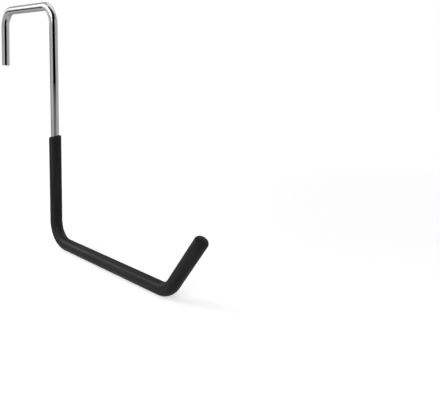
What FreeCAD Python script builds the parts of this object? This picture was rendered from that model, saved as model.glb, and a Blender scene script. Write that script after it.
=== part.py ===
import FreeCAD, Part
import math
import os

import Sketcher

# A garage utility hook. One chrome-plated steel rod is bent in one plane: a squared U that drops over
# a rail, a long leg, a level arm and an up-turned tip. The U's short leg leans out a little, so its mouth
# is wider than its top. A soft vinyl coat, dipped on, covers the lower leg, the arm and the tip, closes
# over the rod's cut end and stops on the leg at a slanted, rounded rim.
#
# Frame: the origin is the middle of the top bar's underside, where the rail bears. +X runs along the top
# bar towards the arm, +Z is up, and the axis of every run lies in the plane Y = 0.

# Driving dimensions: millimetres, and degrees for the three angles.
SIZES = {
    "rod_diameter": 8.0,
    "rail_gap": 100.0,
    "short_leg_drop": 52.4,
    "mouth_splay": 2.3,
    "leg_drop": 224.0,
    "arm_reach": 186.0,
    "tip_length": 65.0,
    "tip_rise": 53.0,
    "top_bend": 18.0,
    "lower_bend": 21.5,
    "cut_round": 0.6,
    "coat_wall": 1.9,
    "coat_start": 118.4,
    "rim_tilt": 20.0,
    "rim_round": 1.4,
    "end_cover": 2.6,
    "tip_round": 2.4,
    "tip_dome": 0.8,
}

# What each driving dimension measures, for the sheet's first column.
MEANINGS = {
    "rod_diameter": "diameter of the round rod",
    "rail_gap": "clear width between the short leg and the long leg, at the top bar",
    "short_leg_drop": "top bar's underside down to the short leg's cut end, at its axis",
    "mouth_splay": "lean of the short leg away from the long leg",
    "leg_drop": "top bar's underside down to the arm's axis",
    "arm_reach": "long leg's axis to the corner where the arm's and the tip's axes cross",
    "tip_length": "that corner to the top of the coat's domed end, along the tip",
    "tip_rise": "angle of the tip above the arm",
    "top_bend": "radius of the two bends of the U, at the rod's axis",
    "lower_bend": "radius of the arm's two bends, at the rod's axis",
    "cut_round": "rounding of the rod's two cut ends",
    "coat_wall": "thickness of the vinyl coat",
    "coat_start": "top bar's underside down to the coat's rim, at the leg's axis",
    "rim_tilt": "slant of the rim, which is higher on the arm's side",
    "rim_round": "rounding of the rim's outer edge",
    "end_cover": "coat over the rod's cut end, at the top of the dome",
    "tip_round": "rounding of the domed end's edge",
    "tip_dome": "height of the dome above that rounding",
}

# Places and radii worked out from the sheet, as (x, z) in the plane of the bends where they are points.
ROD_RADIUS = "Sizes.rod_diameter / 2"
COAT_RADIUS = "(Sizes.rod_diameter / 2 + Sizes.coat_wall)"
LEG_X = "(Sizes.rail_gap + Sizes.rod_diameter) / 2"
SHORT_LEG_X = f"-{LEG_X}"
ARM_Z = "-Sizes.leg_drop"
TIP_CORNER = (f"{LEG_X} + Sizes.arm_reach", ARM_Z)
SHORT_LEG_END = (
    f"{SHORT_LEG_X} - (Sizes.short_leg_drop + {ROD_RADIUS}) * tan(Sizes.mouth_splay)",
    "-Sizes.short_leg_drop",
)
RIM_CENTRE = (LEG_X, "-Sizes.coat_start")

# The coat is swept from a little above its rim, and the slanted cut then takes that spare length off.
SPARE = f"({COAT_RADIUS} * tan(Sizes.rim_tilt) + Sizes.coat_wall)"
COAT_TOP = (LEG_X, f"{SPARE} - Sizes.coat_start")

NEAR = 1e-3  # how close an edge's middle lies to the point that names it


def number(expression):
    """Gives the value of an expression of the sheet's sizes."""
    return float(sheet.evalExpression(expression))


def along_tip(distance):
    """Gives the point of the tip's axis that lies a distance past the corner."""
    corner_x, corner_z = TIP_CORNER
    across = f"{corner_x} + ({distance}) * cos(Sizes.tip_rise)"
    above = f"{corner_z} + ({distance}) * sin(Sizes.tip_rise)"
    return across, above


def in_space(point):
    """Gives a point (x, z) of the plane of the bends as a vector of the part's frame."""
    across, above = point
    return FreeCAD.Vector(number(across), 0, number(above))


def new_body(label):
    body = doc.addObject("PartDesign::Body", label)
    body.Label = label
    return body


def new_sketch(body, name, role):
    """Starts a sketch on one of the body's own origin planes."""
    sketch = body.newObject("Sketcher::SketchObject", name)
    plane = next(feature for feature in body.Origin.OriginFeatures if feature.Role == role)
    sketch.AttachmentSupport = [(plane, "")]
    sketch.MapMode = "FlatFace"
    return sketch


def bind(sketch, name, expression, kind, *places):
    """Adds a dimension to a sketch and ties it to an expression of the sheet's sizes."""
    index = sketch.addConstraint(Sketcher.Constraint(kind, *places, number(expression)))
    sketch.renameConstraint(index, name)
    sketch.setExpression(f"Constraints.{name}", expression)


def locate(sketch, name, point, *place):
    """Ties a point of a sketch to its two coordinates."""
    across, above = point
    bind(sketch, f"{name}_across", across, "DistanceX", *place)
    bind(sketch, f"{name}_above", above, "DistanceY", *place)


def draw_bent_path(sketch, corners, bends):
    """Draws straight runs from corner to corner, with a tangent arc in place of each inner corner."""
    points = [FreeCAD.Vector(number(x), number(z), 0) for x, z in corners]
    run_ends = [points[0]]
    arcs = []
    for before, corner, after, bend in zip(points, points[1:], points[2:], bends):
        way_in = (corner - before).normalize()
        way_out = (after - corner).normalize()
        inward = (way_out - way_in).normalize()
        half_turn = way_in.getAngle(way_out) / 2
        radius = number(bend)
        centre = corner + inward * (radius / math.cos(half_turn))
        first = corner - way_in * (radius * math.tan(half_turn))
        last = corner + way_out * (radius * math.tan(half_turn))
        turns_left = way_in.cross(way_out).z > 0
        arcs.append((Part.Arc(first, centre - inward * radius, last), turns_left))
        run_ends += [first, last]
    run_ends.append(points[-1])

    starts, ends = run_ends[0::2], run_ends[1::2]
    runs = [sketch.addGeometry(Part.LineSegment(start, end)) for start, end in zip(starts, ends)]
    for place, ((arc, turns_left), bend) in enumerate(zip(arcs, bends)):
        curve = sketch.addGeometry(arc)
        first_end, last_end = (1, 2) if turns_left else (2, 1)
        run_in, run_out = runs[place], runs[place + 1]
        sketch.addConstraint(Sketcher.Constraint("Tangent", run_in, 2, curve, first_end))
        sketch.addConstraint(Sketcher.Constraint("Tangent", curve, last_end, run_out, 1))
        bind(sketch, f"bend_{place}", bend, "Radius", curve)
        corner = sketch.addGeometry(Part.Point(points[place + 1]), True)
        sketch.addConstraint(Sketcher.Constraint("PointOnObject", corner, 1, run_in))
        sketch.addConstraint(Sketcher.Constraint("PointOnObject", corner, 1, run_out))
        locate(sketch, f"corner_{place}", corners[place + 1], corner, 1)
    locate(sketch, "start", corners[0], runs[0], 1)
    locate(sketch, "finish", corners[-1], runs[-1], 2)


def draw_section(sketch, centre, lean, radius):
    """Draws a round section at a point, square to a run that leans from the vertical by an angle."""
    across, above = centre
    turn = FreeCAD.Rotation(FreeCAD.Vector(0, 1, 0), number(lean))
    sketch.AttachmentOffset = FreeCAD.Placement(FreeCAD.Vector(), turn)
    sketch.setExpression("AttachmentOffset.Base.x", across)
    sketch.setExpression("AttachmentOffset.Base.z", above)
    sketch.setExpression("AttachmentOffset.Rotation.Angle", f"{lean} * 1 deg")
    circle = Part.Circle(FreeCAD.Vector(), FreeCAD.Vector(0, 0, 1), number(radius))
    edge = sketch.addGeometry(circle)
    sketch.addConstraint(Sketcher.Constraint("Coincident", edge, 3, -1, 1))
    bind(sketch, "radius", radius, "Radius", edge)


def sweep(body, name, corners, bends, radius, lean="0"):
    """Sweeps a round section along a bent path whose first run, a leg, leans by an angle."""
    path = new_sketch(body, f"{name}_path", "XZ_Plane")
    draw_bent_path(path, corners, bends)
    section = new_sketch(body, f"{name}_section", "XY_Plane")
    draw_section(section, corners[0], lean, radius)
    pipe = body.newObject("PartDesign::AdditivePipe", name)
    pipe.Profile = section
    pipe.Spine = (path, [])
    doc.recompute()
    return pipe


def round_edges(body, name, base, centres, radius):
    """Rounds the closed edges whose middles are at the given points."""
    edges = []
    for index, edge in enumerate(base.Shape.Edges, start=1):
        if any(edge.CenterOfMass.distanceToPoint(in_space(centre)) < NEAR for centre in centres):
            edges.append(f"Edge{index}")
    if len(edges) != len(centres):
        raise RuntimeError(f"{name} found {len(edges)} edges for {len(centres)} places")
    fillet = body.newObject("PartDesign::Fillet", name)
    fillet.Base = (base, edges)
    fillet.setExpression("Radius", radius)
    doc.recompute()
    return fillet


def make_rod():
    """The steel rod, from the short leg's cut end round to the cut end inside the coat's tip."""
    body = new_body("hook_rod")
    rod_end = along_tip("Sizes.tip_length - Sizes.end_cover")
    corners = [
        SHORT_LEG_END,
        (SHORT_LEG_X, ROD_RADIUS),
        (LEG_X, ROD_RADIUS),
        (LEG_X, ARM_Z),
        TIP_CORNER,
        rod_end,
    ]
    bends = ["Sizes.top_bend", "Sizes.top_bend", "Sizes.lower_bend", "Sizes.lower_bend"]
    pipe = sweep(body, "bent_rod", corners, bends, ROD_RADIUS, lean="Sizes.mouth_splay")
    round_edges(body, "deburred_ends", pipe, [SHORT_LEG_END, rod_end], "Sizes.cut_round")
    return body


def cap_tip(body):
    """Closes the coat's tip with a shallow dome and a rounded edge, turned about the tip's axis."""
    height = "(Sizes.tip_round + Sizes.tip_dome)"
    across, above = along_tip(f"Sizes.tip_length - {height}")
    sketch = new_sketch(body, "dome_profile", "XZ_Plane")
    sketch.setExpression("AttachmentOffset.Base.x", across)
    sketch.setExpression("AttachmentOffset.Base.y", above)
    sketch.setExpression("AttachmentOffset.Rotation.Angle", "Sizes.tip_rise * 1 deg")

    coat_radius, cap_height, edge_radius = (number(x) for x in (COAT_RADIUS, height, "Sizes.tip_round"))
    edge_offset = coat_radius - edge_radius
    dome_radius = (cap_height**2 + edge_offset**2 - edge_radius**2) / (2 * (cap_height - edge_radius))
    edge_centre = FreeCAD.Vector(0, edge_offset, 0)
    dome_centre = FreeCAD.Vector(cap_height - dome_radius, 0, 0)
    meeting_way = (edge_centre - dome_centre).normalize()
    meeting = dome_centre + meeting_way * dome_radius
    turn = math.atan2(meeting_way.y, meeting_way.x)
    axis_way = FreeCAD.Vector(0, 0, 1)
    foot = FreeCAD.Vector(0, 0, 0)
    rim = FreeCAD.Vector(0, coat_radius, 0)
    apex = FreeCAD.Vector(cap_height, 0, 0)

    edge_circle = Part.Circle(edge_centre, axis_way, edge_radius)
    dome_circle = Part.Circle(dome_centre, axis_way, dome_radius)
    base = sketch.addGeometry(Part.LineSegment(foot, rim))
    edge = sketch.addGeometry(Part.ArcOfCircle(edge_circle, turn, math.pi / 2))
    dome = sketch.addGeometry(Part.ArcOfCircle(dome_circle, 0, turn))
    axis = sketch.addGeometry(Part.LineSegment(apex, foot))
    sketch.addConstraint([
        Sketcher.Constraint("Coincident", base, 1, -1, 1),
        Sketcher.Constraint("Coincident", base, 2, edge, 2),
        Sketcher.Constraint("Tangent", edge, 1, dome, 2),
        Sketcher.Constraint("Coincident", dome, 1, axis, 1),
        Sketcher.Constraint("Coincident", axis, 2, -1, 1),
        Sketcher.Constraint("Vertical", base),
        Sketcher.Constraint("Horizontal", axis),
        Sketcher.Constraint("PointOnObject", edge, 3, -2),
        Sketcher.Constraint("PointOnObject", dome, 3, -1),
    ])
    bind(sketch, "coat_radius", COAT_RADIUS, "DistanceY", base, 1, base, 2)
    bind(sketch, "cap_height", height, "DistanceX", axis, 2, axis, 1)
    bind(sketch, "edge_radius", "Sizes.tip_round", "Radius", edge)

    cap = body.newObject("PartDesign::Revolution", "domed_end")
    cap.Profile = sketch
    cap.ReferenceAxis = (sketch, ["H_Axis"])
    cap.Angle = 360
    doc.recompute()
    return cap


def trim_rim(body):
    """Cuts the coat's spare upper length off on the slant, square to the plane of the bends."""
    reach = f"{COAT_RADIUS} * 2"
    left = f"{LEG_X} - {reach}"
    right = f"{LEG_X} + {reach}"
    low = f"-Sizes.coat_start - {reach} * tan(Sizes.rim_tilt)"
    high = f"-Sizes.coat_start + {reach} * tan(Sizes.rim_tilt)"
    top = f"-Sizes.coat_start + {reach} * tan(Sizes.rim_tilt) + {SPARE}"
    corners = [(left, low), (right, high), (right, top), (left, top)]

    sketch = new_sketch(body, "rim_outline", "XZ_Plane")
    points = [FreeCAD.Vector(number(x), number(z), 0) for x, z in corners]
    sides = [sketch.addGeometry(Part.LineSegment(a, b)) for a, b in zip(points, points[1:] + points[:1])]
    for place, side in enumerate(sides):
        sketch.addConstraint(Sketcher.Constraint("Coincident", sides[place - 1], 2, side, 1))
        locate(sketch, f"corner_{place}", corners[place], side, 1)

    cut = body.newObject("PartDesign::Pocket", "slanted_rim")
    cut.Profile = sketch
    cut.SideType = "Symmetric"
    cut.setExpression("Length", f"{reach} * 2")
    doc.recompute()
    return cut


def make_coat(rod):
    """The vinyl coat: a thicker bent bar with a domed tip and a slanted rim, less the rod inside it."""
    body = new_body("coat_blank")
    cap_base = along_tip("Sizes.tip_length - Sizes.tip_round - Sizes.tip_dome")
    corners = [COAT_TOP, (LEG_X, ARM_Z), TIP_CORNER, cap_base]
    bar = sweep(body, "coat_bar", corners, ["Sizes.lower_bend", "Sizes.lower_bend"], COAT_RADIUS)
    cap = cap_tip(body)
    rim = trim_rim(body)
    if not bar.Shape.Volume < cap.Shape.Volume or not rim.Shape.Volume < cap.Shape.Volume:
        raise RuntimeError("the coat's dome added nothing, or its rim was not cut")
    round_edges(body, "rounded_rim", rim, [RIM_CENTRE], "Sizes.rim_round")
    coat = doc.addObject("Part::Cut", "vinyl_coat")
    coat.Label = "vinyl_coat"
    coat.Base = body
    coat.Tool = rod
    doc.recompute()
    return coat


def check(pieces):
    """Stops the build if any object failed or a piece isn't one sound solid."""
    for item in doc.Objects:
        if "Invalid" in item.State or "Error" in item.State:
            raise RuntimeError(f"{item.Label} failed: {item.State}")
    for piece in pieces:
        if piece.Shape.isNull() or not piece.Shape.isValid() or len(piece.Shape.Solids) != 1:
            raise RuntimeError(f"{piece.Label} is not one valid solid")


doc = FreeCAD.newDocument("garage_utility_hook")
sheet = doc.addObject("Spreadsheet::Sheet", "Sizes")
for row, (alias, size) in enumerate(SIZES.items(), start=1):
    sheet.set(f"A{row}", MEANINGS[alias])
    sheet.set(f"B{row}", str(size))
    sheet.setAlias(f"B{row}", alias)
doc.recompute()

hook_rod = make_rod()
vinyl_coat = make_coat(hook_rod)
doc.recompute()
check([hook_rod, vinyl_coat])

os.makedirs("parts", exist_ok=True)
for piece in (hook_rod, vinyl_coat):
    piece.Shape.exportStep(f"parts/{piece.Label}.step")
    print(f"{piece.Label}: {piece.Shape.Volume / 1000:.2f} cm3")
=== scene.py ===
import math

import bpy
from mathutils import Matrix, Vector


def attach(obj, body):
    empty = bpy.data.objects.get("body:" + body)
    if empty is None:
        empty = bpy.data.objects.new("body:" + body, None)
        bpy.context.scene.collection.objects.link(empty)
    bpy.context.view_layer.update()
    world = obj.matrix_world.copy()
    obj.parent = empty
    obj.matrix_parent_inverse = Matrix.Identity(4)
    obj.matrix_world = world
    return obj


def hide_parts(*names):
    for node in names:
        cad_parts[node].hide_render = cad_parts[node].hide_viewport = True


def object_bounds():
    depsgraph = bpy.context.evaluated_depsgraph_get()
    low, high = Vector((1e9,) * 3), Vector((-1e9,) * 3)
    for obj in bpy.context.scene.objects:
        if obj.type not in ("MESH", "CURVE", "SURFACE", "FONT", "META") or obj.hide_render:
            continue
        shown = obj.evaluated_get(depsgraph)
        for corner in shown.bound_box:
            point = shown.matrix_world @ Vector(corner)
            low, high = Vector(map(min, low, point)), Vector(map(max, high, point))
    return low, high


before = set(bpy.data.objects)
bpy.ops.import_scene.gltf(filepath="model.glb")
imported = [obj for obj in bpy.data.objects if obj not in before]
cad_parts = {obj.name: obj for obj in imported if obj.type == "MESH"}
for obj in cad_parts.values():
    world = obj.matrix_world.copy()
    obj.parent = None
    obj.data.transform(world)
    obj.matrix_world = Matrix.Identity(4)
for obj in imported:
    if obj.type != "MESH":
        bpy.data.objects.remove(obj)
cad_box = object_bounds()


# The rod: one length of drawn 8 mm steel rod, cut square at both ends, bent cold in one plane over formers
# and bright chrome plated. Its short leg, which leans out a little, its top bar and its long leg make the U
# that drops over a rail. Its arm and up-turned tip run on inside the coat.
MM = 0.001
ROD_RADIUS = 4.0 * MM
RAIL_GAP = 100.0 * MM
SHORT_LEG_DROP = 52.4 * MM
MOUTH_SPLAY = math.radians(2.3)
LEG_DROP = 224.0 * MM
ARM_REACH = 186.0 * MM
TIP_LENGTH = 65.0 * MM
TIP_RISE = math.radians(53.0)
END_COVER = 2.6 * MM
TOP_BEND = 18.0 * MM
LOWER_BEND = 21.5 * MM
CUT_ROUND = 0.6 * MM
CUT_CROWN = 0.02 * MM  # how far the middle of a cut face stands proud
EDGE_STEPS = 7  # steps round a rounded edge
BEND_STEPS = 40  # steps round a bend
BAR_SIDES = 96  # corners round a bar
RING_GUARD = 0.4 * MM  # from a bend or a rounding to the ring that keeps the straight run's shading straight
SEAM_GAP = 0.002 * MM  # corners closer than this become one

LEG_X = RAIL_GAP / 2 + ROD_RADIUS
SHORT_LEG_AXIS = Vector((math.sin(MOUTH_SPLAY), 0.0, math.cos(MOUTH_SPLAY)))
SHORT_LEG_LENGTH = (SHORT_LEG_DROP + ROD_RADIUS) / math.cos(MOUTH_SPLAY)
TIP_AXIS = Vector((math.cos(TIP_RISE), 0.0, math.sin(TIP_RISE)))
SHORT_LEG_CORNER = Vector((-LEG_X, 0.0, ROD_RADIUS))
SHORT_LEG_END = SHORT_LEG_CORNER - SHORT_LEG_AXIS * SHORT_LEG_LENGTH
LEG_CORNER = Vector((LEG_X, 0.0, ROD_RADIUS))
ARM_CORNER = Vector((LEG_X, 0.0, -LEG_DROP))
TIP_CORNER = Vector((LEG_X + ARM_REACH, 0.0, -LEG_DROP))
ROD_TIP = TIP_CORNER + TIP_AXIS * (TIP_LENGTH - END_COVER)


def add_node(tree, kind, inputs=None, **settings):
    """Adds a node with its settings; an input that is a socket is linked, and any other is a value."""
    node = tree.nodes.new(kind)
    for name, value in settings.items():
        setattr(node, name, value)
    for key, value in (inputs or {}).items():
        if isinstance(value, bpy.types.NodeSocket):
            tree.links.new(value, node.inputs[key])
        else:
            node.inputs[key].default_value = value
    return node


def bent_bar_nodes():
    """The tree that bends a line of corners over formers and gives it a round section."""
    tree = bpy.data.node_groups.new("bent_bar", "GeometryNodeTree")
    sockets = {}
    for name, kind in (
        ("Line", "NodeSocketGeometry"),
        ("Bend Steps", "NodeSocketInt"),
        ("Sides", "NodeSocketInt"),
        ("Rim Centre", "NodeSocketVector"),
        ("Rim Slope", "NodeSocketVector"),
        ("Rim Fade", "NodeSocketFloat"),
        ("Finish", "NodeSocketMaterial"),
    ):
        socket = tree.interface.new_socket(name, in_out="INPUT", socket_type=kind)
        sockets[name] = socket.identifier
    tree.interface.new_socket("Bar", in_out="OUTPUT", socket_type="NodeSocketGeometry")
    given = add_node(tree, "NodeGroupInput").outputs

    bend = add_node(tree, "GeometryNodeInputNamedAttribute", {"Name": "bend_radius"}, data_type="FLOAT")
    section = add_node(tree, "GeometryNodeInputNamedAttribute", {"Name": "bar_radius"}, data_type="FLOAT")
    inside = add_node(tree, "GeometryNodeInputNamedAttribute", {"Name": "inside"}, data_type="BOOLEAN")

    line = add_node(tree, "GeometryNodeMeshToCurve", {"Mesh": given["Line"]})
    bent = add_node(tree, "GeometryNodeFilletCurve", {
        "Curve": line.outputs["Curve"], "Count": given["Bend Steps"], "Radius": bend.outputs["Attribute"],
    }, mode="POLY")
    travel = add_node(tree, "GeometryNodeSplineParameter")
    measured = add_node(tree, "GeometryNodeStoreNamedAttribute", {
        "Geometry": bent.outputs["Curve"], "Name": "along", "Value": travel.outputs["Length"],
    }, data_type="FLOAT", domain="POINT")
    circle = add_node(tree, "GeometryNodeCurvePrimitiveCircle", {
        "Resolution": given["Sides"], "Radius": 1.0,
    })
    place = add_node(tree, "GeometryNodeInputPosition")
    ring = add_node(tree, "GeometryNodeStoreNamedAttribute", {
        "Geometry": circle.outputs["Curve"], "Name": "ring", "Value": place.outputs["Position"],
    }, data_type="FLOAT_VECTOR", domain="POINT")
    tube = add_node(tree, "GeometryNodeCurveToMesh", {
        "Curve": measured.outputs["Geometry"], "Profile Curve": ring.outputs["Geometry"],
        "Scale": section.outputs["Attribute"],
    })

    # The bar's own coordinates, as if it were straight again: across it in X and Y, along it in Z.
    ring_place = add_node(tree, "GeometryNodeInputNamedAttribute", {
        "Name": "ring",
    }, data_type="FLOAT_VECTOR")
    along = add_node(tree, "GeometryNodeInputNamedAttribute", {"Name": "along"}, data_type="FLOAT")
    lengthwise = add_node(tree, "ShaderNodeCombineXYZ", {"Z": along.outputs["Attribute"]})
    across = add_node(tree, "ShaderNodeVectorMath", {
        "Vector": ring_place.outputs["Attribute"], "Scale": section.outputs["Attribute"],
    }, operation="SCALE")
    unbent = add_node(tree, "ShaderNodeVectorMath", {
        0: across.outputs["Vector"], 1: lengthwise.outputs["Vector"],
    }, operation="ADD")
    placed = add_node(tree, "GeometryNodeStoreNamedAttribute", {
        "Geometry": tube.outputs["Mesh"], "Name": "bar_place", "Value": unbent.outputs["Vector"],
    }, data_type="FLOAT_VECTOR", domain="POINT")
    turned = add_node(tree, "GeometryNodeFlipFaces", {
        "Mesh": placed.outputs["Geometry"], "Selection": inside.outputs["Attribute"],
    })
    closed = add_node(tree, "GeometryNodeMergeByDistance", {
        "Geometry": turned.outputs["Mesh"], "Distance": SEAM_GAP,
    })

    # The rim's slant: corners near the rim's height rise with their distance across the leg.
    from_rim = add_node(tree, "ShaderNodeVectorMath", {
        0: place.outputs["Position"], 1: given["Rim Centre"],
    }, operation="SUBTRACT")
    rise = add_node(tree, "ShaderNodeVectorMath", {
        0: from_rim.outputs["Vector"], 1: given["Rim Slope"],
    }, operation="DOT_PRODUCT")
    above_rim = add_node(tree, "ShaderNodeSeparateXYZ", {"Vector": from_rim.outputs["Vector"]})
    fade_foot = add_node(tree, "ShaderNodeMath", {0: given["Rim Fade"], 1: -1.0}, operation="MULTIPLY")
    share = add_node(tree, "ShaderNodeMapRange", {
        "Value": above_rim.outputs["Z"], "From Min": fade_foot.outputs["Value"], "From Max": 0.0,
    })
    lift = add_node(tree, "ShaderNodeMath", {
        0: rise.outputs["Value"], 1: share.outputs["Result"],
    }, operation="MULTIPLY")
    upward = add_node(tree, "ShaderNodeCombineXYZ", {"Z": lift.outputs["Value"]})
    slanted = add_node(tree, "GeometryNodeSetPosition", {
        "Geometry": closed.outputs["Geometry"], "Offset": upward.outputs["Vector"],
    })

    smooth = add_node(tree, "GeometryNodeSetShadeSmooth", {"Geometry": slanted.outputs["Geometry"]})
    real = add_node(tree, "GeometryNodeRealizeInstances", {"Geometry": smooth.outputs["Geometry"]})
    finished = add_node(tree, "GeometryNodeSetMaterial", {
        "Geometry": real.outputs["Geometry"], "Material": given["Finish"],
    })
    add_node(tree, "NodeGroupOutput", {"Bar": finished.outputs["Geometry"]})
    return tree, sockets


bent_bar, bent_bar_sockets = bent_bar_nodes()


def make_bar(name, lines, values):
    """A bar made by the tree. A line's rows hold place, bar radius, bend radius and whether it is a bore."""
    edges, first = [], 0
    for line in lines:
        edges += [(i, i + 1) for i in range(first, first + len(line) - 1)]
        first += len(line)
    places, bar_radii, bend_radii, bores = zip(*(row for line in lines for row in line))
    mesh = bpy.data.meshes.new(name + "_line")
    mesh.from_pydata(places, edges, [])
    for attribute, kind, column in (
        ("bar_radius", "FLOAT", bar_radii),
        ("bend_radius", "FLOAT", bend_radii),
        ("inside", "BOOLEAN", bores),
    ):
        mesh.attributes.new(attribute, kind, "POINT").data.foreach_set("value", column)
    bar = bpy.data.objects.new(name, mesh)
    bpy.context.scene.collection.objects.link(bar)
    modifier = bar.modifiers.new("bent_bar", "NODES")
    modifier.node_group = bent_bar
    for socket, value in values.items():
        modifier[bent_bar_sockets[socket]] = value
    evaluated = bar.evaluated_get(bpy.context.evaluated_depsgraph_get())
    finished = bpy.data.meshes.new_from_object(evaluated)
    bar.modifiers.remove(modifier)
    bar.data = finished
    finished.name = name
    bpy.data.meshes.remove(mesh)
    return bar


def spread(first, last, steps):
    """Even values from first to last, both included."""
    return [first + (last - first) * step / steps for step in range(steps + 1)]


def arc(start, end):
    """The angles of a rounded edge's steps, from start to end in degrees, as radians."""
    return [math.radians(angle) for angle in spread(start, end, EDGE_STEPS)]


def cut_end(radius, edge_round, hole_radius=0.0):
    """Distances from a square cut and the radii there: a slightly crowned face and its rounded edge."""
    rounding = [
        (CUT_CROWN + edge_round * (1 - math.cos(angle)), radius - edge_round * (1 - math.sin(angle)))
        for angle in arc(0, 90)
    ]
    return [(0.0, hole_radius)] + rounding + [(CUT_CROWN + edge_round + RING_GUARD, radius)]


def along_run(start, direction, profile, inside=False):
    """Rows of a line that leaves start in a direction, with the profile's distances and radii."""
    return [(start + direction * distance, radius, 0.0, inside) for distance, radius in profile]


def bent_run(corners, bar_radius, bend_radii, inside=False):
    """Rows for a line's inner corners, with a ring just outside each end of each bend."""
    rows = []
    for before, corner, after, bend_radius in zip(corners, corners[1:], corners[2:], bend_radii):
        arms = [(end - corner).normalized() for end in (before, after)]
        reach = bend_radius / math.tan(arms[0].angle(arms[1]) / 2) + RING_GUARD
        first, last = ((corner + arm * reach, bar_radius, 0.0, inside) for arm in arms)
        rows += [first, (corner, bar_radius, bend_radius, inside), last]
    return rows


rod_corners = (SHORT_LEG_END, SHORT_LEG_CORNER, LEG_CORNER, ARM_CORNER, TIP_CORNER, ROD_TIP)
rod_cut = cut_end(ROD_RADIUS, CUT_ROUND)
rod_line = (
    along_run(SHORT_LEG_END, SHORT_LEG_AXIS, rod_cut)
    + bent_run(rod_corners, ROD_RADIUS, (TOP_BEND, TOP_BEND, LOWER_BEND, LOWER_BEND))
    + along_run(ROD_TIP, -TIP_AXIS, rod_cut)[::-1]
)

# Bright chrome plate on drawn steel: a neutral mirror. Drawing leaves fine lines along the rod that the plate
# only half fills, and the plate itself is a little wavy, so reflections waver slightly. The real lines are
# too fine to show, so they are drawn coarser here.
CHROME_LIGHT, CHROME_DARK = "#dddddd", "#d4d4d5"
CHROME_SMOOTH, CHROME_ROUGH = 0.03, 0.07
DRAW_LINE_WIDTH, DRAW_LINE_LENGTH = 0.5 * MM, 40.0 * MM
DRAW_LINE_DEPTH, DRAW_LINE_BUMP = 0.002 * MM, 0.3
PLATE_WAVE, PLATE_WAVE_DEPTH, PLATE_WAVE_BUMP = 4.0 * MM, 0.004 * MM, 0.5
NOISE_LOW, NOISE_HIGH = 0.3, 0.7  # most of a noise's values lie between these
MIX_SHARE, MIX_FIRST, MIX_SECOND, MIX_COLOUR = 0, 6, 7, 2  # a Mix node's inputs for colours, and its output


def linear(hex_colour):
    """An sRGB hex colour as the linear RGBA that a shader takes."""
    parts = [int(hex_colour[i:i + 2], 16) / 255 for i in (1, 3, 5)]
    return [p / 12.92 if p <= 0.04045 else ((p + 0.055) / 1.055) ** 2.4 for p in parts] + [1.0]


def new_material(name):
    """A new material, its node tree and its shader."""
    material = bpy.data.materials.new(name)
    material.use_nodes = True
    return material, material.node_tree, material.node_tree.nodes["Principled BSDF"]


chrome, tree, shader = new_material("bright_chrome_plate")
shader.inputs["Metallic"].default_value = 1.0
bar_place = add_node(tree, "ShaderNodeAttribute", attribute_name="bar_place").outputs["Vector"]
drawn = add_node(tree, "ShaderNodeMapping", {
    "Vector": bar_place, "Scale": (1 / DRAW_LINE_WIDTH, 1 / DRAW_LINE_WIDTH, 1 / DRAW_LINE_LENGTH),
})
draw_lines = add_node(tree, "ShaderNodeTexNoise", {
    "Vector": drawn.outputs["Vector"], "Scale": 1.0, "Detail": 2.0,
})
plate_waves = add_node(tree, "ShaderNodeTexNoise", {
    "Vector": bar_place, "Scale": 1 / PLATE_WAVE, "Detail": 1.0,
})
tint = add_node(tree, "ShaderNodeMix", {
    MIX_SHARE: draw_lines.outputs["Fac"], MIX_FIRST: linear(CHROME_DARK), MIX_SECOND: linear(CHROME_LIGHT),
}, data_type="RGBA")
gloss = add_node(tree, "ShaderNodeMapRange", {
    "Value": plate_waves.outputs["Fac"], "From Min": NOISE_LOW, "From Max": NOISE_HIGH,
    "To Min": CHROME_SMOOTH, "To Max": CHROME_ROUGH,
})
lines_bump = add_node(tree, "ShaderNodeBump", {
    "Height": draw_lines.outputs["Fac"], "Strength": DRAW_LINE_BUMP, "Distance": DRAW_LINE_DEPTH,
})
waves_bump = add_node(tree, "ShaderNodeBump", {
    "Height": plate_waves.outputs["Fac"], "Strength": PLATE_WAVE_BUMP, "Distance": PLATE_WAVE_DEPTH,
    "Normal": lines_bump.outputs["Normal"],
})
tree.links.new(tint.outputs[MIX_COLOUR], shader.inputs["Base Color"])
tree.links.new(gloss.outputs["Result"], shader.inputs["Roughness"])
tree.links.new(waves_bump.outputs["Normal"], shader.inputs["Normal"])

rod = make_bar("rod", [rod_line], {"Bend Steps": BEND_STEPS, "Sides": BAR_SIDES, "Finish": chrome})
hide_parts("hook_rod")
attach(rod, "root")


# The coat: soft black PVC that the hot rod takes up when its lower part is dipped in the liquid. It covers
# the lower leg, the arm and the tip, and closes over the rod's cut end in a low dome. The bath's level leaves
# the upper rim slanted, and surface tension rounds it.
COAT_WALL = 1.9 * MM
COAT_START = 118.4 * MM
RIM_TILT, RIM_LEAN = math.radians(10.0), math.radians(8.0)  # the slant in the hook's plane, and across it
RIM_ROUND = 1.4 * MM
RIM_FADE = 12.0 * MM  # how far below the rim its slant dies out
TIP_ROUND = 2.4 * MM
TIP_DOME = 0.8 * MM

UP = Vector((0.0, 0.0, 1.0))
COAT_RADIUS = ROD_RADIUS + COAT_WALL
RIM_CENTRE = Vector((LEG_X, 0.0, -COAT_START))
RIM_SLOPE = Vector((math.tan(RIM_TILT), math.tan(RIM_LEAN), 0.0))

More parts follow.
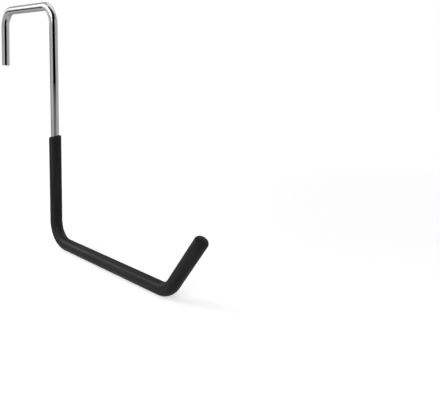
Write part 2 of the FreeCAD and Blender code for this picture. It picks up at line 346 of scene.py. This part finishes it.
# The tip's profile: the straight run's last ring, the edge's rounding and the dome that is tangent to it.
round_offset = COAT_RADIUS - TIP_ROUND
round_foot = TIP_LENGTH - TIP_DOME - TIP_ROUND
dome_radius = TIP_ROUND + (round_offset**2 + TIP_DOME**2) / (2 * TIP_DOME)
dome_angle = math.degrees(math.asin(round_offset / (dome_radius - TIP_ROUND)))
tip_profile = [(round_foot - RING_GUARD, COAT_RADIUS)]
for angle in arc(0, 90 - dome_angle):
    tip_profile.append((round_foot + TIP_ROUND * math.sin(angle), round_offset + TIP_ROUND * math.cos(angle)))
for angle in arc(dome_angle, 0)[1:]:
    tip_profile.append((TIP_LENGTH - dome_radius * (1 - math.cos(angle)), dome_radius * math.sin(angle)))

rim_profile = cut_end(COAT_RADIUS, RIM_ROUND, ROD_RADIUS) + [(RIM_FADE, COAT_RADIUS)]
coat_corners = (RIM_CENTRE, ARM_CORNER, TIP_CORNER, ROD_TIP)
outer_line = (
    along_run(RIM_CENTRE, -UP, rim_profile)
    + bent_run(coat_corners, COAT_RADIUS, (LOWER_BEND, LOWER_BEND))
    + along_run(TIP_CORNER, TIP_AXIS, tip_profile)
)
bore_line = (
    along_run(RIM_CENTRE, -UP, [(0.0, ROD_RADIUS), (RIM_FADE, ROD_RADIUS)], inside=True)
    + bent_run(coat_corners, ROD_RADIUS, (LOWER_BEND, LOWER_BEND), inside=True)
    + along_run(ROD_TIP, -TIP_AXIS, rod_cut, inside=True)[::-1]
)

# Dipped soft vinyl: near black and matt, with a slight orange peel from the cure. It ran down the bar as it
# set, so it has faint paler streaks along it and small changes of gloss, and handling has dulled it in
# patches. A streak starts to show at the low value of its noise and is full at the high one.
VINYL_BODY, VINYL_DEEP, VINYL_STREAK = "#242424", "#1e1e1e", "#363637"
VINYL_IOR, VINYL_SPECULAR = 1.5, 0.13
VINYL_SMOOTH, VINYL_ROUGH = 0.36, 0.46
STREAK_WIDTH, STREAK_LENGTH = 1.6 * MM, 45.0 * MM
STREAK_DEPTH, STREAK_BUMP = 0.1 * MM, 0.6
STREAK_LOW, STREAK_HIGH, STREAK_SHARE = 0.52, 0.75, 0.8
PEEL_GRAIN, PEEL_DEPTH, PEEL_BUMP = 0.9 * MM, 0.06 * MM, 0.5
PATCH = 9.0 * MM

vinyl, tree, shader = new_material("dipped_soft_vinyl")
shader.inputs["IOR"].default_value = VINYL_IOR
shader.inputs["Specular IOR Level"].default_value = VINYL_SPECULAR
bar_place = add_node(tree, "ShaderNodeAttribute", attribute_name="bar_place").outputs["Vector"]
run = add_node(tree, "ShaderNodeMapping", {
    "Vector": bar_place, "Scale": (1 / STREAK_WIDTH, 1 / STREAK_WIDTH, 1 / STREAK_LENGTH),
})
streaks = add_node(tree, "ShaderNodeTexNoise", {
    "Vector": run.outputs["Vector"], "Scale": 1.0, "Detail": 2.0,
})
patches = add_node(tree, "ShaderNodeTexNoise", {"Vector": bar_place, "Scale": 1 / PATCH, "Detail": 3.0})
peel = add_node(tree, "ShaderNodeTexNoise", {"Vector": bar_place, "Scale": 1 / PEEL_GRAIN, "Detail": 1.0})
body = add_node(tree, "ShaderNodeMix", {
    MIX_SHARE: patches.outputs["Fac"], MIX_FIRST: linear(VINYL_DEEP), MIX_SECOND: linear(VINYL_BODY),
}, data_type="RGBA")
streak_share = add_node(tree, "ShaderNodeMapRange", {
    "Value": streaks.outputs["Fac"], "From Min": STREAK_LOW, "From Max": STREAK_HIGH,
    "To Min": 0.0, "To Max": STREAK_SHARE,
})
streaked = add_node(tree, "ShaderNodeMix", {
    MIX_SHARE: streak_share.outputs["Result"], MIX_FIRST: body.outputs[MIX_COLOUR],
    MIX_SECOND: linear(VINYL_STREAK),
}, data_type="RGBA")
matt = add_node(tree, "ShaderNodeMapRange", {
    "Value": patches.outputs["Fac"], "From Min": NOISE_LOW, "From Max": NOISE_HIGH,
    "To Min": VINYL_SMOOTH, "To Max": VINYL_ROUGH,
})
run_bump = add_node(tree, "ShaderNodeBump", {
    "Height": streaks.outputs["Fac"], "Strength": STREAK_BUMP, "Distance": STREAK_DEPTH,
})
peel_bump = add_node(tree, "ShaderNodeBump", {
    "Height": peel.outputs["Fac"], "Strength": PEEL_BUMP, "Distance": PEEL_DEPTH,
    "Normal": run_bump.outputs["Normal"],
})
tree.links.new(streaked.outputs[MIX_COLOUR], shader.inputs["Base Color"])
tree.links.new(matt.outputs["Result"], shader.inputs["Roughness"])
tree.links.new(peel_bump.outputs["Normal"], shader.inputs["Normal"])

coat = make_bar("coat", [outer_line, bore_line], {
    "Bend Steps": BEND_STEPS, "Sides": BAR_SIDES, "Rim Centre": RIM_CENTRE, "Rim Slope": RIM_SLOPE,
    "Rim Fade": RIM_FADE, "Finish": vinyl,
})
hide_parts("vinyl_coat")
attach(coat, "root")


# The camera stands beyond the tip and to one side of the hook's plane, higher than the arm and lower than the
# top bar. It looks slightly down, with a slight roll. The frame is 440 by 413 pixels, and the lens is the one
# whose focal length in those pixels fits the hook's corners.
CAMERA_AZIMUTH, CAMERA_ELEVATION, CAMERA_ROLL = (math.radians(angle) for angle in (47.05, 12.05, 2.49))
CAMERA_PLACE = Vector((595.563, -279.125, -56.730)) * MM
CAMERA_NEAR = 10.0 * MM
FOCAL_PIXELS, FRAME_WIDTH, SENSOR_WIDTH = 597.54, 440, 36.0

back = Vector((
    math.sin(CAMERA_AZIMUTH) * math.cos(CAMERA_ELEVATION),
    -math.cos(CAMERA_AZIMUTH) * math.cos(CAMERA_ELEVATION),
    math.sin(CAMERA_ELEVATION),
))
level_right = Vector((math.cos(CAMERA_AZIMUTH), math.sin(CAMERA_AZIMUTH), 0.0))
level_up = back.cross(level_right)
right = level_right * math.cos(CAMERA_ROLL) + level_up * math.sin(CAMERA_ROLL)
up = level_up * math.cos(CAMERA_ROLL) - level_right * math.sin(CAMERA_ROLL)
camera = bpy.data.objects.new("camera", bpy.data.cameras.new("camera"))
camera.data.sensor_fit = "HORIZONTAL"
camera.data.sensor_width = SENSOR_WIDTH
camera.data.lens = SENSOR_WIDTH * FOCAL_PIXELS / FRAME_WIDTH
camera.data.clip_start = CAMERA_NEAR
camera.matrix_world = Matrix.Translation(CAMERA_PLACE) @ Matrix((right, up, back)).transposed().to_4x4()
bpy.context.scene.collection.objects.link(camera)
bpy.context.scene.camera = camera


# The studio: a white floor just under the arm, a soft box up on the left and a weaker one on the right. A
# grey tent all round, with white, grey and black cards and a board in front of it, is seen by reflections
# only and gives the chrome its stripes.
AIM = Vector((90.0, 0.0, -110.0)) * MM
WHITE = (1.0, 1.0, 1.0, 1.0)
SKY_LIGHT = 0.34
FLOOR_WHITE = "#dcdcdc"
FLOOR_GAP, FLOOR_REACH = 0.5 * MM, 6.0
# The floor's glow to the eye rises with the distance from the hook, because the lamps light it less there.
FLOOR_NEAR, FLOOR_FAR = 0.3, 1.6
FLOOR_NEAR_GLOW, FLOOR_FAR_GLOW = 0.53, 0.77
# Each lamp's name, direction from the hook, distance, width and depth in metres, and power in watts.
LAMPS = (
    ("left_soft_box", (-0.62, -0.62, 0.48), 1.3, 1.0, 0.8, 11.0),
    ("right_soft_box", (0.60, -0.65, 0.36), 1.5, 0.7, 0.7, 9.0),
)
TENT_RADIUS, TENT_TONE = 3.0, 0.50
TENT_PANELS, TENT_ROWS = 24, 12
CARD_PANELS = 16
# Each card's name, distance in metres, brightness at its foot and at its top, and rows from the foot up:
# height, left turn and right turn. These are in degrees, and a turn counts to the right of the camera's
# direction.
CARDS = (
    ("upper_left_white", 2.6, 1.7, 1.7, (
        (12, -122, -108), (18, -121, -98), (24, -122, -88), (27, -116, -22),
        (40, -110, -9), (52, -100, -14), (57, -92, -20),
    )),
    ("left_grey", 2.6, 0.60, 0.64, ((-6, -46, -22), (13, -46, -18))),
    ("left_white", 2.5, 1.4, 1.7, ((13, -34, -17), (28, -38, -11))),
    ("far_left_bright", 2.5, 6.0, 6.0, ((20, -119, -104), (31, -117, -102))),
    ("far_left_white", 2.5, 1.6, 1.6, ((4, -122, -100), (12, -122, -106))),
    ("upper_back_white", 2.5, 1.1, 1.1, ((32, 135, 185), (45, 118, 200), (60, 110, 225), (80, 105, 230))),
    ("far_left_black", 2.4, 0.02, 0.02, ((-16, -120, -98), (-6, -120, -98))),
    ("lower_back_grey", 2.4, 0.42, 0.42, ((-50, 150, 215), (-7, 150, 215))),
    ("back_black", 2.35, 0.02, 0.02, ((-20, 172, 200), (28, 172, 200))),
    ("back_white", 2.3, 1.2, 1.2, ((-20, 146, 166), (28, 146, 166))),
    ("far_left_grey", 2.3, 0.38, 0.38, ((-7, -140, -86), (3.5, -140, -86))),
    ("upper_right_grey", 2.2, 0.22, 0.22, ((28, 45, 80), (45, 60, 100), (60, 70, 110), (75, 70, 110))),
    ("front_black", 2.0, 0.0, 0.0, (
        (-65, -45, 45), (-45, -36, 38), (-30, -20, 36), (-14, -13, 48), (-3, -15, 56),
        (5, -14, 51), (20, -9, 52), (32, -5, 58), (45, 2, 74), (57, -20, 82),
    )),
    ("overhead_black", 1.6, 0.03, 0.03, ((57, -95, 80), (85, -95, 80))),
)
# A board that slopes away in front of the long leg, black above and grey below. Its slope and its two turns
# are in degrees, and its rows hold the distance from the leg in metres and the brightness below.
BOARD_PLACE = Vector((LEG_X, 0.0, -64.0 * MM))
BOARD_SLOPE, BOARD_LEFT, BOARD_RIGHT = -9.0, -14.0, 52.0
BOARD_THICK = 1.5 * MM
BOARD_ROWS = ((0.01, 0.01), (0.04, 0.05), (0.14, 0.12), (0.30, 0.165), (0.55, 0.20), (1.0, 0.215))


def stage_mesh(name, corners, faces):
    """A stage object, which is not part of the hook, from its corners and faces."""
    mesh = bpy.data.meshes.new(name)
    mesh.from_pydata(corners, [], faces)
    item = bpy.data.objects.new(name, mesh)
    bpy.context.scene.collection.objects.link(item)
    return item


def direct_view(tree):
    """1 for rays that see the background directly, in metal or through glass, and 0 for lighting."""
    path = add_node(tree, "ShaderNodeLightPath").outputs
    seen = add_node(tree, "ShaderNodeMath", {
        0: path["Is Camera Ray"], 1: path["Is Glossy Ray"],
    }, operation="MAXIMUM")
    return add_node(tree, "ShaderNodeMath", {
        0: seen.outputs["Value"], 1: path["Is Transmission Ray"],
    }, operation="MAXIMUM").outputs["Value"]


floor_z = cad_box[0][2] - FLOOR_GAP
floor = stage_mesh("floor", [
    (-FLOOR_REACH, -FLOOR_REACH, floor_z), (FLOOR_REACH, -FLOOR_REACH, floor_z),
    (FLOOR_REACH, FLOOR_REACH, floor_z), (-FLOOR_REACH, FLOOR_REACH, floor_z),
], [(0, 1, 2, 3)])

# White studio paper: quite matt, with no sheen at all.
paper, tree, shader = new_material("white_studio_paper")
shader.inputs["Base Color"].default_value = linear(FLOOR_WHITE)
shader.inputs["Roughness"].default_value = 1.0
shader.inputs["Specular IOR Level"].default_value = 0.0
shader.inputs["Emission Color"].default_value = WHITE
place = add_node(tree, "ShaderNodeTexCoord").outputs["Object"]
away = add_node(tree, "ShaderNodeVectorMath", {0: place, 1: AIM}, operation="DISTANCE")
level = add_node(tree, "ShaderNodeMapRange", {
    "Value": away.outputs["Value"], "From Min": FLOOR_NEAR, "From Max": FLOOR_FAR,
    "To Min": FLOOR_NEAR_GLOW, "To Max": FLOOR_FAR_GLOW,
})
glow = add_node(tree, "ShaderNodeMath", {
    0: direct_view(tree), 1: level.outputs["Result"],
}, operation="MULTIPLY")
tree.links.new(glow.outputs["Value"], shader.inputs["Emission Strength"])
floor.data.materials.append(paper)
floor.visible_glossy = False

# Studio cloth: an even glow, as bright as the sheet's own tone.
cloth = bpy.data.materials.new("studio_cloth")
cloth.use_nodes = True
tree = cloth.node_tree
tree.nodes.clear()
tone = add_node(tree, "ShaderNodeAttribute", attribute_name="tone")
shine = add_node(tree, "ShaderNodeEmission", {"Strength": tone.outputs["Fac"]})
add_node(tree, "ShaderNodeOutputMaterial", {"Surface": shine.outputs["Emission"]})


def reflected_sheet(name, rows, tones, faces_across):
    """A sheet of rows of corners, each with its brightness, that shows in reflections and nowhere else."""
    wide = len(rows[0])
    faces = []
    for foot in range(0, wide * (len(rows) - 1), wide):
        top = foot + wide
        for near in range(faces_across):
            far = (near + 1) % wide
            faces.append((foot + near, foot + far, top + far, top + near))
    sheet = stage_mesh(name, [corner for row in rows for corner in row], faces)
    corner_tones = [value for value in tones for _ in range(wide)]
    sheet.data.attributes.new("tone", "FLOAT", "POINT").data.foreach_set("value", corner_tones)
    sheet.data.materials.append(cloth)
    for ray in ("camera", "diffuse", "transmission", "volume_scatter", "shadow"):
        setattr(sheet, "visible_" + ray, False)


def facing(turn, height):
    """The direction at a turn from the camera's direction and a height over the level, in degrees."""
    ahead = Vector((back.x, back.y, 0.0)).normalized()
    across, over = math.radians(turn), math.radians(height)
    level_way = ahead * math.cos(across) + level_right * math.sin(across)
    return level_way * math.cos(over) + UP * math.sin(over)


tent = [
    [facing(turn, height) * TENT_RADIUS for turn in spread(0, 360, TENT_PANELS)[:-1]]
    for height in spread(-90, 90, TENT_ROWS)
]
reflected_sheet("tent", tent, [TENT_TONE] * len(tent), TENT_PANELS)
for name, distance, foot_tone, top_tone, rows in CARDS:
    card = [
        [facing(turn, height) * distance for turn in spread(left_turn, right_turn, CARD_PANELS)]
        for height, left_turn, right_turn in rows
    ]
    reflected_sheet(name + "_card", card, spread(foot_tone, top_tone, len(rows) - 1), CARD_PANELS)
for name, start, tones in (
    ("board_top", BOARD_PLACE, [0.0] * len(BOARD_ROWS)),
    ("board_foot", BOARD_PLACE - UP * BOARD_THICK, [below for _, below in BOARD_ROWS]),
):
    board = [
        [start + facing(turn, BOARD_SLOPE) * reach for turn in spread(BOARD_LEFT, BOARD_RIGHT, CARD_PANELS)]
        for reach, _ in BOARD_ROWS
    ]
    reflected_sheet(name, board, tones, CARD_PANELS)

world = bpy.data.worlds.new("studio")
world.use_nodes = True
tree = world.node_tree
background = tree.nodes["Background"]
background.inputs["Color"].default_value = WHITE
strength = add_node(tree, "ShaderNodeMapRange", {
    "Value": direct_view(tree), "To Min": SKY_LIGHT, "To Max": 1.0,
})
tree.links.new(strength.outputs["Result"], background.inputs["Strength"])
bpy.context.scene.world = world

for name, direction, distance, width, depth, power in LAMPS:
    lamp = bpy.data.objects.new(name, bpy.data.lights.new(name, "AREA"))
    lamp.data.shape = "RECTANGLE"
    lamp.data.size, lamp.data.size_y = width, depth
    lamp.data.energy = power
    outward = Vector(direction).normalized()
    aim_turn = outward.to_track_quat("Z", "Y").to_matrix().to_4x4()
    lamp.matrix_world = Matrix.Translation(AIM + outward * distance) @ aim_turn
    lamp.visible_glossy = False
    bpy.context.scene.collection.objects.link(lamp)

bpy.context.scene.view_settings.view_transform = "Standard"
